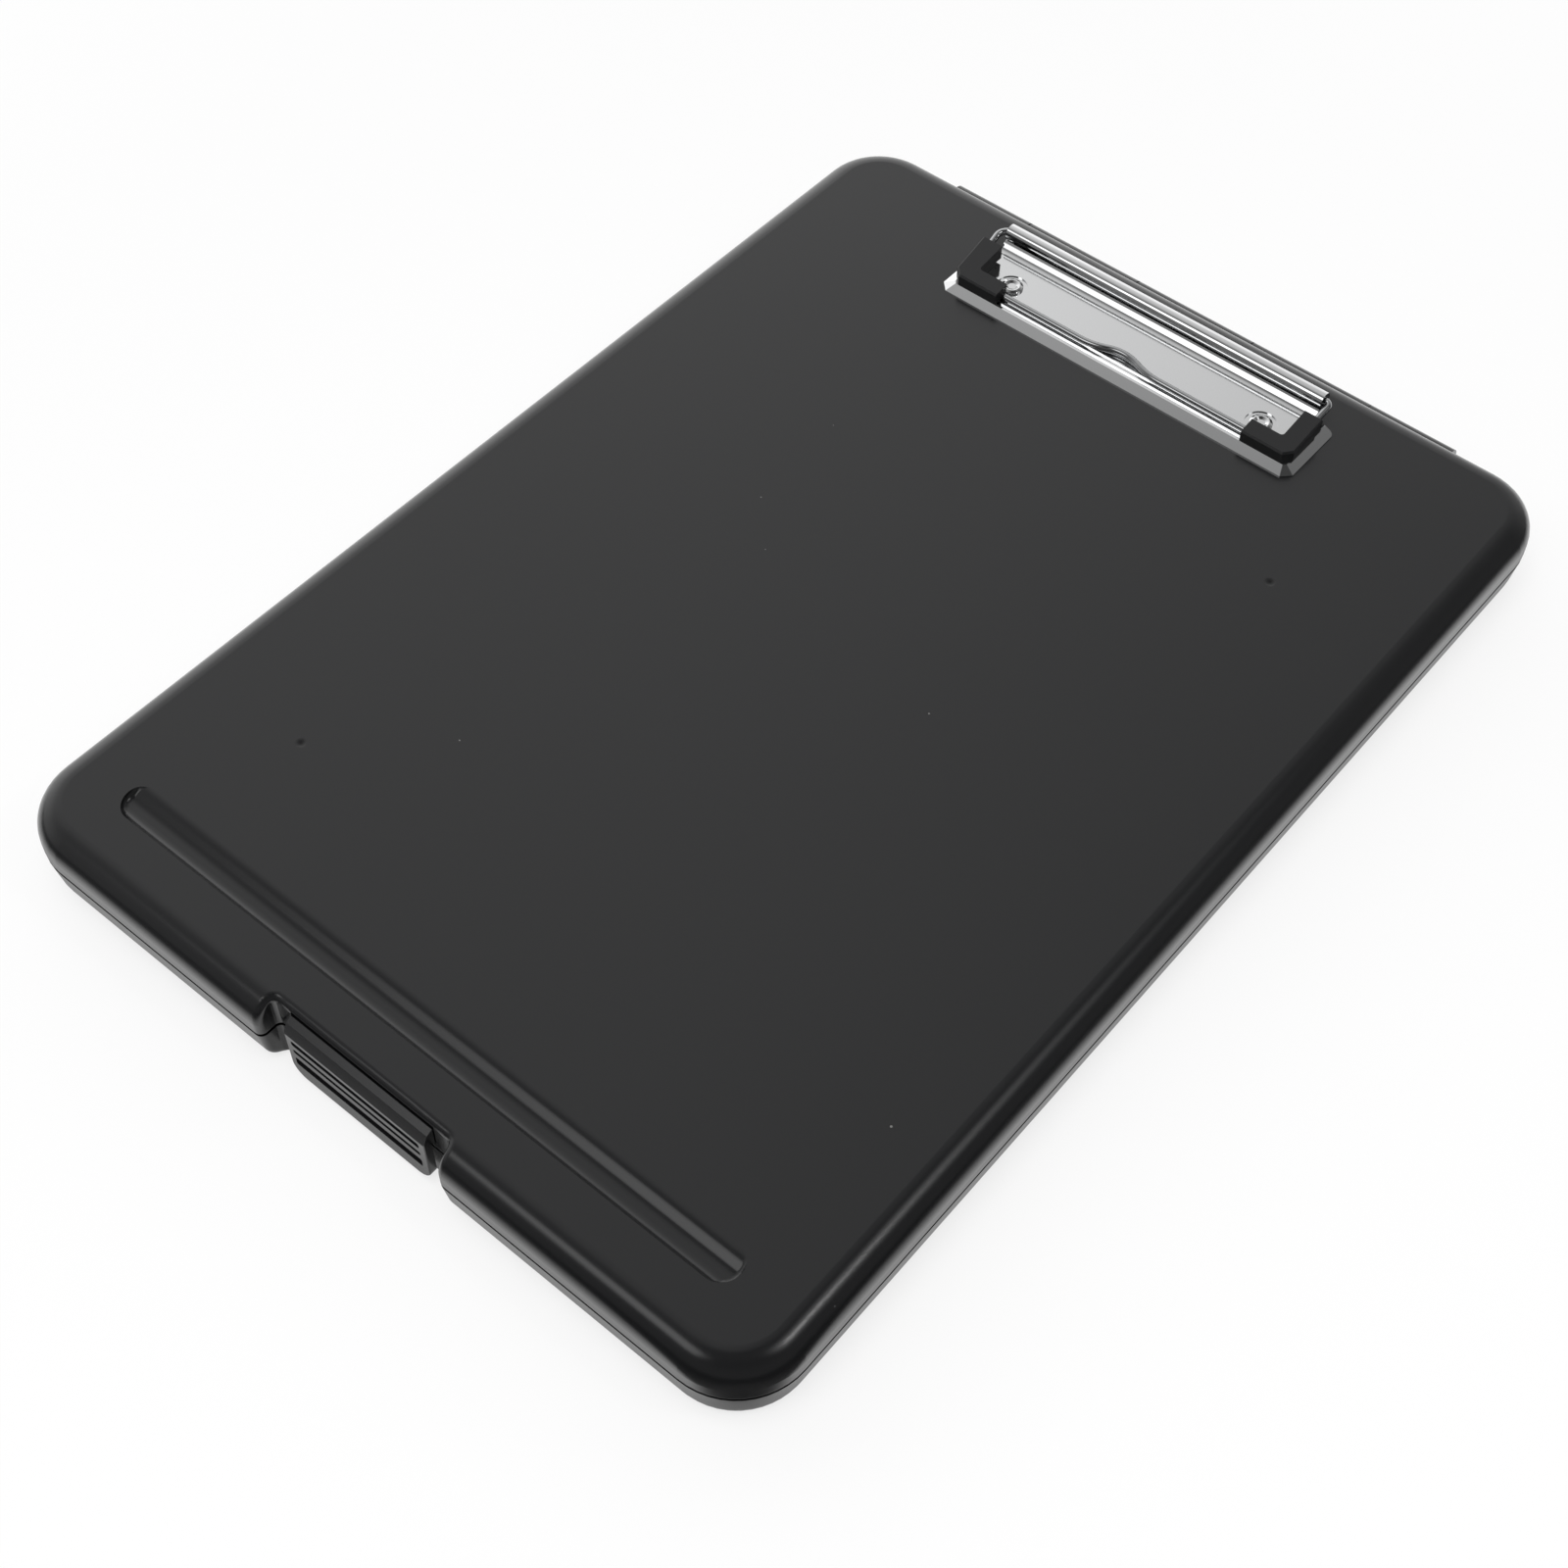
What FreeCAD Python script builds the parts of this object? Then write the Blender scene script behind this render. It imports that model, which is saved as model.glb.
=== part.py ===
import FreeCAD, Part
import math
import os
import Sketcher

# Storage clipboard: two hinged shells, a flip latch and a sprung wire clip on the lid.
# Millimetres, +Z up, hinge and clip at +Y, latch at -Y, origin under the middle of the closed case.

os.makedirs("parts", exist_ok=True)
doc = FreeCAD.newDocument("StorageClipboard")

# Driving sizes

sizes = {
    # case
    "caseWidth": 241,
    "caseLength": 340,
    "caseHeight": 25,
    "partingHeight": 13.3,
    "cornerRadius": 19.5,
    "wallThickness": 2,
    "lidTopRadius": 7.4,
    "baseBottomRadius": 6,
    "draftAngle": 8.5,
    "lidRimRounding": 0.8,
    "baseRimBevel": 0.5,
    "cutOverrun": 1,
    # locating lip of the base
    "lipThickness": 1.2,
    "lipHeight": 2,
    "lipRoot": 4,
    "lipGap": 0.3,
    "lipRearMargin": 30,
    # front notch
    "notchWidth": 57.8,
    "notchDepth": 6.1,
    "notchCornerRadius": 1.5,
    "notchRimRadius": 2,
    # pen trough
    "troughSideMargin": 21.35,
    "troughFrontMargin": 17.55,
    "troughWidth": 10.15,
    "troughDepth": 1.9,
    "troughNearSlope": 60,
    "troughNearRadius": 3.6,
    "troughFarSlope": 30,
    "troughFarRadius": 4,
    "troughCrestRadius": 5,
    "troughEndRadius": 5.8,
    "troughEndRounding": 1.5,
    "troughRearSlack": 2,
    # hinge
    "hingeHeight": 16,
    "hingeBehind": 0.4,
    "barrelRadius": 4,
    "barrelGap": 0.3,
    "endKnuckle": 27,
    "middleKnuckle": 40,
    "hingeSpan": 174,
    "knuckleGap": 0.4,
    "knuckleWebHeight": 11,
    "rodRadius": 1.5,
    "rodInset": 0.5,
    "pinFit": 0.05,
    # latch
    "latchWidth": 45.8,
    "latchSetback": 2.7,
    "latchThickness": 2.2,
    "latchBottom": 2.1,
    "latchCornerRadius": 4.5,
    "latchEdgeRadius": 0.4,
    "shoulderHeight": 19,
    "facetHeight": 21.9,
    "facetSetback": 4.1,
    "latchTop": 22.8,
    "latchTopSetback": 5.8,
    "pivotHeight": 19,
    "pivotSetback": 7.7,
    "latchBarrelRadius": 2,
    "armHeight": 16.5,
    "latchPinRadius": 1,
    "latchPinLength": 51.6,
    "latchSideGap": 0.3,
    "cheekThickness": 3.8,
    "cheekDepth": 4.1,
    "windowBottom": 16.3,
    "windowTop": 23.6,
    "ribGrooveDepth": 0.9,
    "ribGrooveMargin": 2,
    "ribGrooveCorner": 0.6,
    "upperGrooveTop": 17.7,
    "upperGrooveHeight": 2,
    "middleGrooveTop": 13.9,
    "middleGrooveHeight": 1.5,
    "lowerGrooveTop": 10.4,
    "lowerGrooveHeight": 3.1,
    "hookWidth": 20,
    "hookBottom": 5,
    "hookHeight": 3.2,
    "hookReach": 2.2,
    "hookRamp": 0.9,
    "hookGap": 0.4,
    # clip plate, measured from the roll's axis
    "rollFromRear": 15.6,
    "rollHeight": 5.5,
    "rollRadius": 2.4,
    "rollGapSlope": 20,
    "rollEndMargin": 5.8,
    "rollOffset": -1,
    "sheetThickness": 0.9,
    "plateWidth": 120.4,
    "plateFront": 27.8,
    "plateWingEnd": 4.4,
    "plateHeight": 1.7,
    "bevelWidth": 3,
    "bevelDrop": 1.35,
    "plateCornerCut": 2.6,
    "plateWingRadius": 1.5,
    "rampRadius": 3.2,
    "rampAngle": 45,
    "channelWidth": 1.1,
    "channelDepth": 0.5,
    "channelRib": 0.7,
    # rivets
    "rivetInset": 17.2,
    "rivetFromRoll": 15.2,
    "rivetRadius": 1.5,
    "rivetHeadRadius": 3.3,
    "rivetHeadHeight": 1.1,
    "rivetPitRadius": 1.2,
    "rivetPitDepth": 0.5,
    "rivetTailRadius": 2.4,
    "rivetTailHeight": 0.7,
    "dimpleRadius": 4.7,
    "dimpleDepth": 0.35,
    "washerRadius": 4,
    "washerThickness": 0.8,
    # wire bail
    "wireRadius": 1,
    "wireLift": 0.1,
    "wireReach": 21.2,
    "wireInRoll": 6,
    "legFrontInset": 5.1,
    "leftLegInset": 2,
    "rightLegInset": 4.9,
    "leftBend": 3.2,
    "rightBend": 1.8,
    "frontBend": 4,
    "waveOffset": -1,
    "waveHalfWidth": 9.5,
    "waveHeight": 3.6,
    "waveFootRadius": 22,
    "waveCrestRadius": 14,
    # corner grips
    "gripInset": 2.3,
    "gripSideDepth": 5.8,
    "gripArm": 15.8,
    "gripFront": 24.7,
    "gripFrontDepth": 5.3,
    "gripRear": 8.6,
    "gripHeight": 3.5,
    "gripFootEnd": 11.3,
    "gripFootRise": 1.1,
    "gripCornerCut": 2.4,
    "gripInnerRadius": 1,
    "gripTopBevel": 0.5,
    "gripFit": 0.03,
    "gripSplay": 1.1,
}

sheet = doc.addObject("Spreadsheet::Sheet", "Sizes")
for row, (alias, value) in enumerate(sizes.items(), start=1):
    sheet.set("A%d" % row, alias)
    sheet.set("B%d" % row, str(value))
    sheet.setAlias("B%d" % row, alias)
doc.recompute()

# Places that several pieces share, as expressions of the sheet

halfWidth = "Sizes.caseWidth / 2"
rear = "Sizes.caseLength / 2"
front = "-Sizes.caseLength / 2"
notchWall = f"({front} + Sizes.notchDepth)"
notchHalf = "Sizes.notchWidth / 2"
hingeY = f"({rear} + Sizes.hingeBehind)"
rodLength = "(Sizes.hingeSpan - 2 * Sizes.rodInset)"
pinLength = "Sizes.latchPinLength"
centreShift = "(Sizes.hingeBehind + Sizes.barrelRadius) / 2"
troughFront = f"({front} + Sizes.troughFrontMargin)"
troughRear = f"({troughFront} + Sizes.troughWidth)"
pivotY = f"({front} + Sizes.pivotSetback)"
panelFront = f"({front} + Sizes.latchSetback)"
panelBack = f"({panelFront} + Sizes.latchThickness)"
cheekStart = "(Sizes.latchWidth / 2 + Sizes.latchSideGap)"
rollY = f"({rear} - Sizes.rollFromRear)"
rollLength = "(Sizes.plateWidth - 2 * Sizes.rollEndMargin)"
rollLeft = f"(Sizes.rollOffset - {rollLength} / 2)"
rollRight = f"(Sizes.rollOffset + {rollLength} / 2)"
rivetX = "(Sizes.plateWidth / 2 - Sizes.rivetInset)"
legFront = "(Sizes.plateWidth / 2 - Sizes.legFrontInset)"
gripOuter = "(Sizes.plateWidth / 2 - Sizes.gripInset)"
gripInner = f"({gripOuter} - Sizes.gripSideDepth)"
wireHeight = "(Sizes.plateHeight + Sizes.wireLift + Sizes.wireRadius)"
bailTilt = f"atan((Sizes.rollHeight - {wireHeight}) / Sizes.wireReach)"
rampRise = "(Sizes.rollHeight - Sizes.rollRadius + Sizes.sheetThickness - Sizes.plateHeight)"
rampReach = "(Sizes.rampRadius * tan(Sizes.rampAngle / 2))"

# Slack when an edge is picked by its place, and one whole turn

tolerance = 1e-4
fullTurn = 360


# Modelling helpers

def read(expression):
    result = sheet.evalExpression(expression)
    return result.Value if hasattr(result, "Value") else float(result)


def newBody(label, shiftY="0", lift="0"):
    body = doc.addObject("PartDesign::Body", label)
    body.Label = label
    body.setExpression("Placement.Base.y", f"{shiftY} - {centreShift}")
    body.setExpression("Placement.Base.z", lift)
    return body


def newSketch(body, name, role, lift):
    sketch = body.newObject("Sketcher::SketchObject", name)
    plane = [item for item in body.Origin.OriginFeatures if item.Role == role][0]
    sketch.AttachmentSupport = [(plane, "")]
    sketch.MapMode = "FlatFace"
    sketch.setExpression("AttachmentOffset.Base.z", lift)
    return sketch


def bind(sketch, constraint, expression):
    index = sketch.addConstraint(constraint)
    sketch.setExpression("Constraints[%d]" % index, expression)


def pin(sketch, geometry, position, place, x, y):
    for kind, value, expression, axis in (("DistanceX", place.x, x, -2), ("DistanceY", place.y, y, -1)):
        if value == 0:
            sketch.addConstraint(Sketcher.Constraint("PointOnObject", geometry, position, axis))
        else:
            bind(sketch, Sketcher.Constraint(kind, -1, 1, geometry, position, value), expression)


def addCorner(sketch, before, after, place, rounding, ends, bend):
    # One arc tangent to both lines, with a construction point that keeps the sharp corner.
    turnsLeft = (bend[1] - bend[0]).cross(bend[2] - bend[1]).z > 0
    arc = sketch.addGeometry(Part.Arc(*(bend if turnsLeft else bend[::-1])), False)
    corner = sketch.addGeometry(Part.Point(place), True)
    first, last = (1, 2) if turnsLeft else (2, 1)
    sketch.addConstraint(Sketcher.Constraint("Tangent", before, 2, arc, first))
    sketch.addConstraint(Sketcher.Constraint("Tangent", after, 1, arc, last))
    sketch.addConstraint(Sketcher.Constraint("PointOnObject", corner, 1, before))
    sketch.addConstraint(Sketcher.Constraint("PointOnObject", corner, 1, after))
    bind(sketch, Sketcher.Constraint("Radius", arc, read(rounding)), rounding)
    pin(sketch, corner, 1, place, ends[0], ends[1])


def bendAt(before, place, after, radius):
    toBefore = (before - place).normalize()
    toAfter = (after - place).normalize()
    half = toBefore.getAngle(toAfter) / 2
    reach = radius / math.tan(half)
    centre = place + (toBefore + toAfter).normalize() * (radius / math.sin(half))
    middle = centre + (place - centre).normalize() * radius
    return place + toBefore * reach, middle, place + toAfter * reach


def drawOutline(sketch, corners, closed=True):
    # corners: (x, y) or (x, y, rounding), each an expression of the sheet
    places = [FreeCAD.Vector(read(corner[0]), read(corner[1]), 0) for corner in corners]
    count = len(places)
    bends = {}
    for index, corner in enumerate(corners):
        if len(corner) == 3:
            following = places[(index + 1) % count]
            bends[index] = bendAt(places[index - 1], places[index], following, read(corner[2]))
    lines = []
    for index in range(count if closed else count - 1):
        following = (index + 1) % count
        start = bends[index][2] if index in bends else places[index]
        end = bends[following][0] if following in bends else places[following]
        lines.append(sketch.addGeometry(Part.LineSegment(start, end), False))
    for index, corner in enumerate(corners):
        if not closed and index == count - 1:
            pin(sketch, lines[-1], 2, places[index], corner[0], corner[1])
        elif index in bends:
            rounding, ends = corner[2], corner[:2]
            addCorner(sketch, lines[index - 1], lines[index], places[index], rounding, ends, bends[index])
        else:
            if closed or index > 0:
                sketch.addConstraint(Sketcher.Constraint("Coincident", lines[index - 1], 2, lines[index], 1))
            pin(sketch, lines[index], 1, places[index], corner[0], corner[1])


def outline(body, name, role, lift, *loops):
    sketch = newSketch(body, name, role, lift)
    for corners in loops:
        drawOutline(sketch, corners)
    return sketch


def discs(body, name, role, lift, *circles):
    # circles: (x, y, radius)
    sketch = newSketch(body, name, role, lift)
    for x, y, radius in circles:
        place = FreeCAD.Vector(read(x), read(y), 0)
        ring = sketch.addGeometry(Part.Circle(place, FreeCAD.Vector(0, 0, 1), read(radius)), False)
        pin(sketch, ring, 3, place, x, y)
        bind(sketch, Sketcher.Constraint("Radius", ring, read(radius)), radius)
    return sketch


def block(xLow, xHigh, yLow, yHigh, *rounding):
    return [(x, y, *rounding) for x, y in ((xLow, yLow), (xHigh, yLow), (xHigh, yHigh), (xLow, yHigh))]


def roundedCase(inset):
    x = f"({halfWidth} - {inset})"
    y = f"({rear} - {inset})"
    return block(f"-{x}", x, f"-{y}", y, f"Sizes.cornerRadius - {inset}")


def extrude(body, kind, name, sketch, length, backwards=False, both=False, taper=None):
    before = body.Shape.Volume if kind == "Pocket" else 0
    feature = body.newObject("PartDesign::" + kind, name)
    feature.Profile = sketch
    feature.setExpression("Length", length)
    feature.Reversed = backwards
    feature.Midplane = both
    if taper:
        feature.setExpression("TaperAngle", taper)
    doc.recompute()
    if kind == "Pocket" and not feature.Shape.Volume < before:
        raise ValueError(name + " cuts nothing")
    return feature


def dress(body, kind, name, size, chosen):
    # Fillet or Chamfer on the edges of the tip that the test picks.
    base = body.Tip
    picked = ["Edge%d" % number for number, edge in enumerate(base.Shape.Edges, start=1) if chosen(edge)]
    if not picked:
        raise ValueError(name + " finds no edge")
    feature = body.newObject("PartDesign::" + kind, name)
    feature.Base = (base, picked)
    feature.setExpression("Radius" if kind == "Fillet" else "Size", size)
    doc.recompute()
    return feature


def near(value, expression):
    return abs(value - read(expression)) < tolerance


def flatAt(edge, height):
    return near(edge.BoundBox.ZMin, height) and near(edge.BoundBox.ZMax, height)


def subtract(body, name, tool):
    feature = body.newObject("PartDesign::Boolean", name)
    feature.Type = "Cut"
    feature.setObjects([tool])
    doc.recompute()
    return feature


# Shapes that both shells share

def notchBlock(margin):
    reach = f"({notchHalf} + {margin})"
    outside = f"({front} - Sizes.cutOverrun)"
    return reach, outside, f"({notchWall} + {margin})"


def cutNotch(body, height):
    reach, outside, inside = notchBlock("0")
    corners = [
        (f"-{reach}", outside),
        (reach, outside),
        (reach, inside, "Sizes.notchCornerRadius"),
        (f"-{reach}", inside, "Sizes.notchCornerRadius"),
    ]
    sketch = outline(body, "notchPlan", "XY_Plane", "0", corners)
    return extrude(body, "Pocket", "notch", sketch, height, backwards=True)


def roundNotch(body, name, low, high, radius):
    # The rim of the notch: edges on its walls that aren't in the parting plane.
    limitX = read(notchHalf)
    limitY = read(notchWall)
    onWall = [limitX, limitY]

    def chosen(edge):
        box = edge.BoundBox
        if near(box.ZMin, "Sizes.partingHeight") and near(box.ZMax, "Sizes.partingHeight"):
            return False
        if box.ZMin < read(low) - tolerance or box.ZMax > read(high) + tolerance:
            return False
        if max(abs(box.XMin), abs(box.XMax)) > onWall[0] + tolerance or box.YMax > onWall[1] + tolerance:
            return False
        upright = box.ZMax - box.ZMin > box.YMax - box.YMin and box.ZMax - box.ZMin > box.XMax - box.XMin
        inner = box.YMax > onWall[1] - read("Sizes.notchCornerRadius") - tolerance
        return not (upright and inner)

    return dress(body, "Fillet", name, radius, chosen)


def knuckleSpans():
    # (start, length, owner) along X, base knuckles full and lid knuckles shortened by the gap
    half = "Sizes.hingeSpan / 2"
    middle = "Sizes.middleKnuckle / 2"
    lidStart = f"(-{half} + Sizes.endKnuckle + Sizes.knuckleGap)"
    lidLength = f"(-{middle} - Sizes.knuckleGap - {lidStart})"
    return [
        (f"-{half}", "Sizes.endKnuckle", "base"),
        (f"-{middle}", "Sizes.middleKnuckle", "base"),
        (f"({half} - Sizes.endKnuckle)", "Sizes.endKnuckle", "base"),
        (lidStart, lidLength, "lid"),
        (f"({middle} + Sizes.knuckleGap)", lidLength, "lid"),
    ]


def hingeFeatures(body, owner):
    for number, (start, length, holder) in enumerate(knuckleSpans(), start=1):
        if holder == owner:
            circle = (hingeY, "Sizes.hingeHeight", "Sizes.barrelRadius")
            ring = discs(body, f"knuckleEnd{number}", "YZ_Plane", start, circle)
            extrude(body, "Pad", f"knuckle{number}", ring, length)
            if owner == "base":
                web = block(
                    f"({hingeY} - Sizes.barrelRadius)",
                    f"({rear} - Sizes.wallThickness / 2)",
                    "(Sizes.hingeHeight - Sizes.knuckleWebHeight)",
                    "Sizes.hingeHeight",
                )
                webEnd = outline(body, f"webEnd{number}", "YZ_Plane", start, web)
                extrude(body, "Pad", f"knuckleWeb{number}", webEnd, length)
    for number, (start, length, holder) in enumerate(knuckleSpans(), start=1):
        if holder != owner:
            circle = (hingeY, "Sizes.hingeHeight", "(Sizes.barrelRadius + Sizes.barrelGap)")
            ring = discs(body, f"reliefEnd{number}", "YZ_Plane", f"({start} - Sizes.knuckleGap)", circle)
            span = f"({length} + 2 * Sizes.knuckleGap)"
            extrude(body, "Pocket", f"relief{number}", ring, span, backwards=True)
    circle = (hingeY, "Sizes.hingeHeight", "(Sizes.rodRadius + Sizes.pinFit)")
    bore = discs(body, "rodBoreEnd", "YZ_Plane", "0", circle)
    extrude(body, "Pocket", "rodBore", bore, "(Sizes.hingeSpan + Sizes.cutOverrun)", both=True)


# Lower shell

def baseCavity():
    cavity = newBody("base_cavity", centreShift)
    rim = outline(cavity, "cavityRim", "XY_Plane", "Sizes.partingHeight", roundedCase("Sizes.wallThickness"))
    depth = "(Sizes.partingHeight - Sizes.wallThickness)"
    extrude(cavity, "Pad", "cavityBlock", rim, depth, backwards=True, taper="-Sizes.draftAngle")
    dress(cavity, "Fillet", "cavityFloor", "(Sizes.baseBottomRadius - Sizes.wallThickness)",
          lambda edge: flatAt(edge, "Sizes.wallThickness"))
    reach, outside, inside = notchBlock("Sizes.wallThickness")
    keep = outline(cavity, "notchWallPlan", "XY_Plane", "0", block(f"-{reach}", reach, outside, inside))
    extrude(cavity, "Pocket", "notchWallBlock", keep, "Sizes.caseHeight", backwards=True)
    return cavity


def lipStrip(side, inset, thickness):
    # One J-shaped strip inside the wall, from the notch round the corner to near the hinge.
    outerX = f"{side} * ({halfWidth} - {inset})"
    innerX = f"{side} * ({halfWidth} - {inset} - {thickness})"
    outerY = f"({front} + {inset})"
    innerY = f"({front} + {inset} + {thickness})"
    startX = f"{side} * ({notchHalf} + Sizes.wallThickness + Sizes.lipThickness)"
    endY = f"({rear} - Sizes.lipRearMargin)"
    return [
        (startX, outerY),
        (outerX, outerY, f"Sizes.cornerRadius - {inset}"),
        (outerX, endY),
        (innerX, endY),
        (innerX, innerY, f"Sizes.cornerRadius - {inset} - {thickness}"),
        (startX, innerY),
    ]


def makeBase():
    body = newBody("base_tray")
    rim = outline(body, "rim", "XY_Plane", "Sizes.partingHeight", roundedCase("0"))
    extrude(body, "Pad", "shellBlock", rim, "Sizes.partingHeight", backwards=True, taper="-Sizes.draftAngle")
    dress(body, "Fillet", "bottomRounding", "Sizes.baseBottomRadius", lambda edge: flatAt(edge, "0"))
    cutNotch(body, "Sizes.caseHeight")
    roundNotch(body, "notchRounding", "0", "Sizes.partingHeight", "Sizes.notchRimRadius")
    dress(body, "Chamfer", "rimBevel", "Sizes.baseRimBevel", lambda edge: flatAt(edge, "Sizes.partingHeight"))
    subtract(body, "hollow", baseCavity())
    root = "(Sizes.wallThickness - Sizes.lipThickness / 2)"
    inset = "(Sizes.wallThickness + Sizes.lipGap)"
    rootThickness = f"({inset} + Sizes.lipThickness - {root})"
    roots = [lipStrip(side, root, rootThickness) for side in ("1", "-1")]
    lips = [lipStrip(side, inset, "Sizes.lipThickness") for side in ("1", "-1")]
    rootPlan = outline(body, "lipRootPlan", "XY_Plane", "(Sizes.partingHeight - Sizes.lipRoot)", *roots)
    extrude(body, "Pad", "lipRootRib", rootPlan, "Sizes.lipRoot")
    lipPlan = outline(body, "lipPlan", "XY_Plane", "Sizes.partingHeight", *lips)
    extrude(body, "Pad", "lip", lipPlan, "Sizes.lipHeight")
    reach = "(Sizes.hookWidth / 2 + Sizes.hookGap)"
    low = "(Sizes.hookBottom - Sizes.hookGap)"
    high = "(Sizes.hookBottom + Sizes.hookHeight + Sizes.hookGap)"
    opening = block(f"-{reach}", reach, low, high)
    window = outline(body, "hookWindowFace", "XZ_Plane", f"-({notchWall} - Sizes.cutOverrun)", opening)
    extrude(body, "Pocket", "hookWindow", window, "(Sizes.wallThickness + 2 * Sizes.cutOverrun)")
    hingeFeatures(body, "base")
    return body


# Upper shell

def troughPlan(margin):
    x = f"({halfWidth} - Sizes.troughSideMargin + {margin})"
    nearY = f"({troughFront} - {margin})"
    farY = f"({troughRear} + Sizes.troughRearSlack + {margin})"
    return block(f"-{x}", x, nearY, farY, f"Sizes.troughEndRadius + {margin}")


def troughForm():
    # The hollow of the trough: a steep front side, a gentle rear side with a soft crest, round ends.
    form = newBody("trough_form", centreShift)
    rise = "(Sizes.troughEndRounding + Sizes.cutOverrun)"
    floor = "(Sizes.caseHeight - Sizes.troughDepth)"
    plan = outline(form, "troughPlan", "XY_Plane", f"(Sizes.caseHeight + {rise})", troughPlan("0"))
    extrude(form, "Pad", "troughBlock", plan, f"({rise} + 2 * Sizes.troughDepth)", backwards=True)
    start = f"({troughFront} - {rise} / tan(Sizes.troughNearSlope))"
    end = f"({troughRear} + {rise} + Sizes.cutOverrun)"
    crestY = f"({troughRear} - Sizes.troughCrestRadius * tan(Sizes.troughFarSlope / 2))"
    below = f"({floor} - 2 * Sizes.troughDepth)"
    nearFoot = f"({troughFront} + Sizes.troughDepth / tan(Sizes.troughNearSlope))"
    farFoot = f"({crestY} - Sizes.troughDepth / tan(Sizes.troughFarSlope))"
    section = [
        (start, f"(Sizes.caseHeight + {rise})"),
        (nearFoot, floor, "Sizes.troughNearRadius"),
        (farFoot, floor, "Sizes.troughFarRadius"),
        (crestY, "Sizes.caseHeight", "Sizes.troughCrestRadius"),
        (end, "Sizes.caseHeight"),
        (end, below),
        (start, below),
    ]
    extrude(form, "Pocket", "troughFloor", outline(form, "troughSection", "YZ_Plane", "0", section),
            "Sizes.caseWidth", both=True)
    endStart = read(f"{halfWidth} - Sizes.troughSideMargin - Sizes.troughEndRadius")
    top = read("Sizes.caseHeight")
    dress(form, "Fillet", "troughEnds", "Sizes.troughEndRounding",
          lambda edge: abs(edge.CenterOfMass.x) > endStart and edge.BoundBox.ZMax < top + tolerance)
    return form


def lidCavity():
    cavity = newBody("lid_cavity", centreShift)
    rim = outline(cavity, "cavityRim", "XY_Plane", "Sizes.partingHeight", roundedCase("Sizes.wallThickness"))
    ceiling = "(Sizes.caseHeight - Sizes.wallThickness)"
    extrude(cavity, "Pad", "cavityBlock", rim, f"({ceiling} - Sizes.partingHeight)")
    dress(cavity, "Fillet", "cavityCeiling", "(Sizes.lidTopRadius - Sizes.wallThickness)",
          lambda edge: flatAt(edge, ceiling))
    reach, outside, inside = notchBlock("Sizes.wallThickness")
    keep = outline(cavity, "notchWallPlan", "XY_Plane", "0", block(f"-{reach}", reach, outside, inside))
    extrude(cavity, "Pocket", "notchWallBlock", keep, "Sizes.caseHeight", backwards=True)
    bulge = outline(cavity, "troughBulgePlan", "XY_Plane", ceiling, troughPlan("Sizes.wallThickness"))
    extrude(cavity, "Pocket", "troughBulge", bulge, "Sizes.troughDepth")
    return cavity


def makeLid():
    body = newBody("lid_shell")
    rim = outline(body, "rim", "XY_Plane", "Sizes.partingHeight", roundedCase("0"))
    extrude(body, "Pad", "shellBlock", rim, "(Sizes.caseHeight - Sizes.partingHeight)")
    dress(body, "Fillet", "topRounding", "Sizes.lidTopRadius", lambda edge: flatAt(edge, "Sizes.caseHeight"))
    cutNotch(body, "(Sizes.caseHeight + Sizes.cutOverrun)")
    roundNotch(body, "notchRounding", "Sizes.partingHeight", "Sizes.caseHeight", "Sizes.notchRimRadius")
    dress(body, "Fillet", "rimRounding", "Sizes.lidRimRounding",
          lambda edge: flatAt(edge, "Sizes.partingHeight"))
    subtract(body, "trough", troughForm())
    subtract(body, "hollow", lidCavity())
    latchMount(body)
    hingeFeatures(body, "lid")
    skin = "(Sizes.caseHeight + Sizes.cutOverrun)"
    rivetY = f"({rollY} - Sizes.rivetFromRoll)"
    hole = "(Sizes.rivetRadius + Sizes.pinFit)"
    circles = [(x, rivetY, hole) for x in (rivetX, f"-{rivetX}")]
    holes = discs(body, "rivetHolePlan", "XY_Plane", skin, *circles)
    extrude(body, "Pocket", "rivetHoles", holes, "(Sizes.wallThickness + 2 * Sizes.cutOverrun)")
    return body


def latchMount(body):
    # Two cheeks hold the latch pin behind the notch wall, with a window between them.
    wallMiddle = f"({notchWall} + Sizes.wallThickness / 2)"
    cheekEnd = f"({notchWall} + Sizes.cheekDepth)"
    opening = block(f"-{cheekStart}", cheekStart, "Sizes.windowBottom", "Sizes.windowTop")
    window = outline(body, "latchWindowFace", "XZ_Plane", f"-({notchWall} - Sizes.cutOverrun)", opening)
    extrude(body, "Pocket", "latchWindow", window, "(Sizes.cheekDepth + Sizes.cutOverrun)")
    insideSkin = "(Sizes.caseHeight - Sizes.wallThickness / 2)"
    profile = block(wallMiddle, cheekEnd, "Sizes.windowBottom", insideSkin)
    for side, start in (("Right", cheekStart), ("Left", f"(-{cheekStart} - Sizes.cheekThickness)")):
        cheek = outline(body, "cheekEnd" + side, "YZ_Plane", start, profile)
        extrude(body, "Pad", "cheek" + side, cheek, "Sizes.cheekThickness")
    circle = (pivotY, "Sizes.pivotHeight", "(Sizes.latchPinRadius + Sizes.pinFit)")
    bore = discs(body, "pinBoreEnd", "YZ_Plane", "0", circle)
    extrude(body, "Pocket", "pinBore", bore, "(Sizes.latchPinLength + Sizes.latchSideGap)", both=True)


# Pins

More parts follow.
